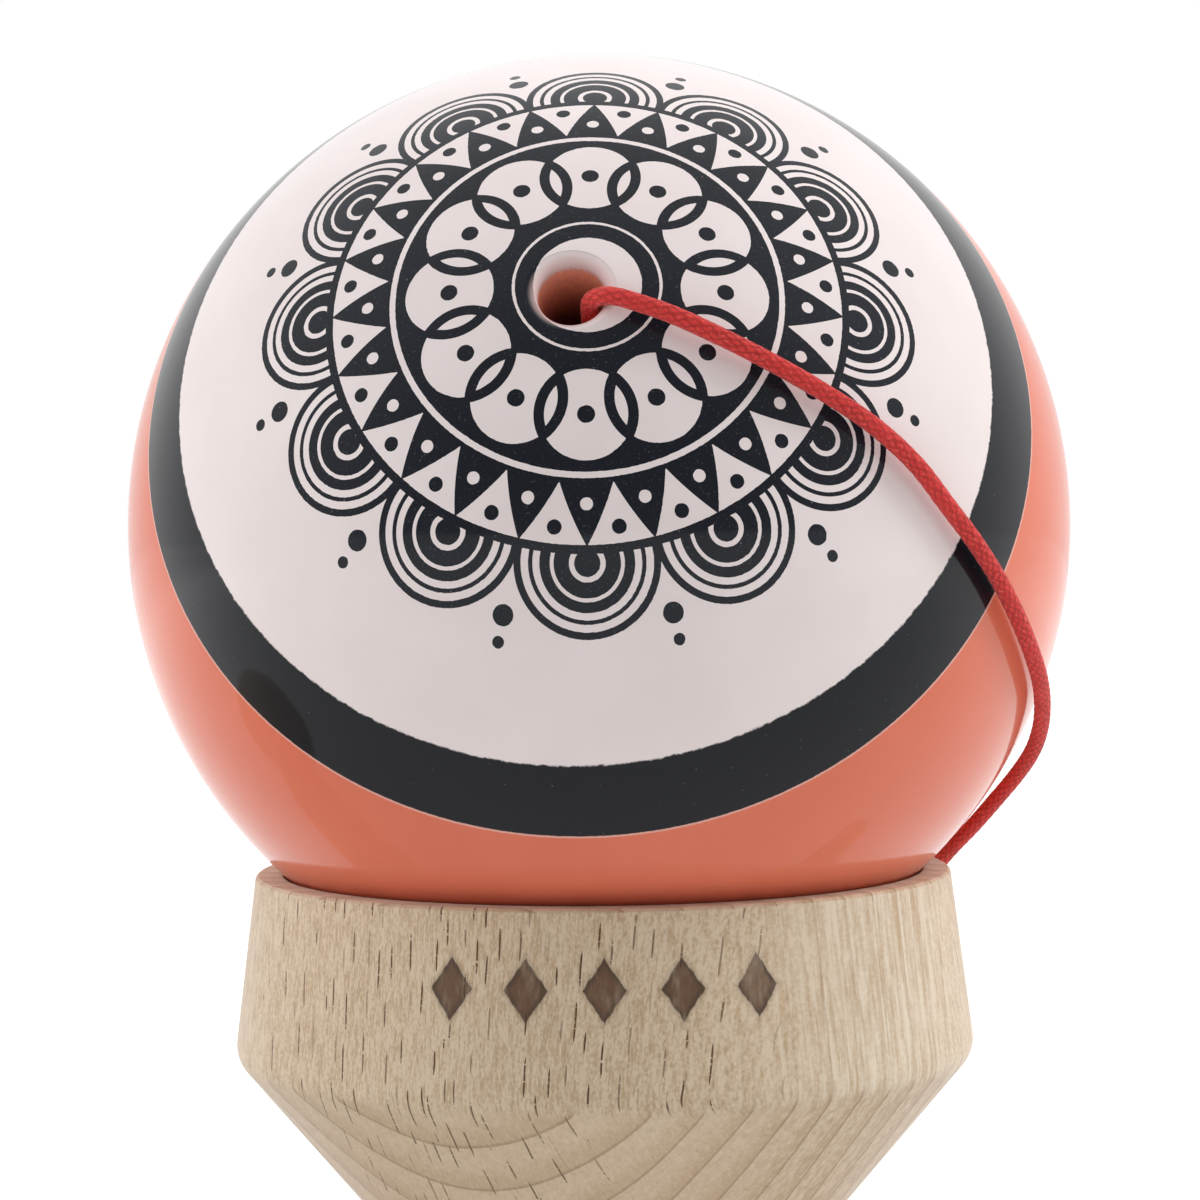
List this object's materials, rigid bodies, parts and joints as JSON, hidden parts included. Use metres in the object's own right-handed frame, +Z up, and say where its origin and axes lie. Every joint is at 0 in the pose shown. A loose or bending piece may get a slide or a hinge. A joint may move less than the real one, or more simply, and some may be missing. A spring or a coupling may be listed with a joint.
{
  "type": "cup and ball toy",
  "caption": "Kendama-style wooden cup and ball toy: turned handle with spike and base cup, cross piece with big and small cups, painted ball on a red string resting in the big cup.",
  "frame": {"origin": "middle of the small cup's rim, on the surface that the toy stands on", "axes": "+Z up along the cross piece to the big cup and the ball, +X along the handle to the spike, -Y to the front, where the ball's string hole looks"},
  "size_m": [0.164, 0.06, 0.125],
  "materials": {
    "beech": "fine sanded raw beech, short dark pores along the grain",
    "painted_wood": "glossy lacquer: coral ground, black band, pale cap with a black printed rosette",
    "bead_wood": "plain turned bead",
    "cord": "braided red nylon cord"
  },
  "bodies": {
    "sarado": {"sarado": "beech", "string_winding": "cord", "sarado_knot": "cord"},
    "ken": {"ken": "beech"},
    "string_end": {"bead": "bead_wood", "bead_knot": "cord", "string": "cord"},
    "tama": {"tama": "painted_wood"}
  },
  "joints": [
    {"name": "ken_draw", "type": "slide", "parent": "sarado", "child": "ken", "axis": [-1, 0, 0], "range_m": [0, 0.07]},
    {"name": "tama_lift", "type": "slide", "parent": "sarado", "child": "string_end", "axis": [0, 0, 1], "range_m": [0, 0.24], "deforming": ["string"]},
    {"name": "tama_spin", "type": "hinge", "parent": "string_end", "child": "tama", "pos_m": [0, 0, 0.09496], "axis": [-0.0471, -0.8991, 0.4352], "continuous": true}
  ]
}
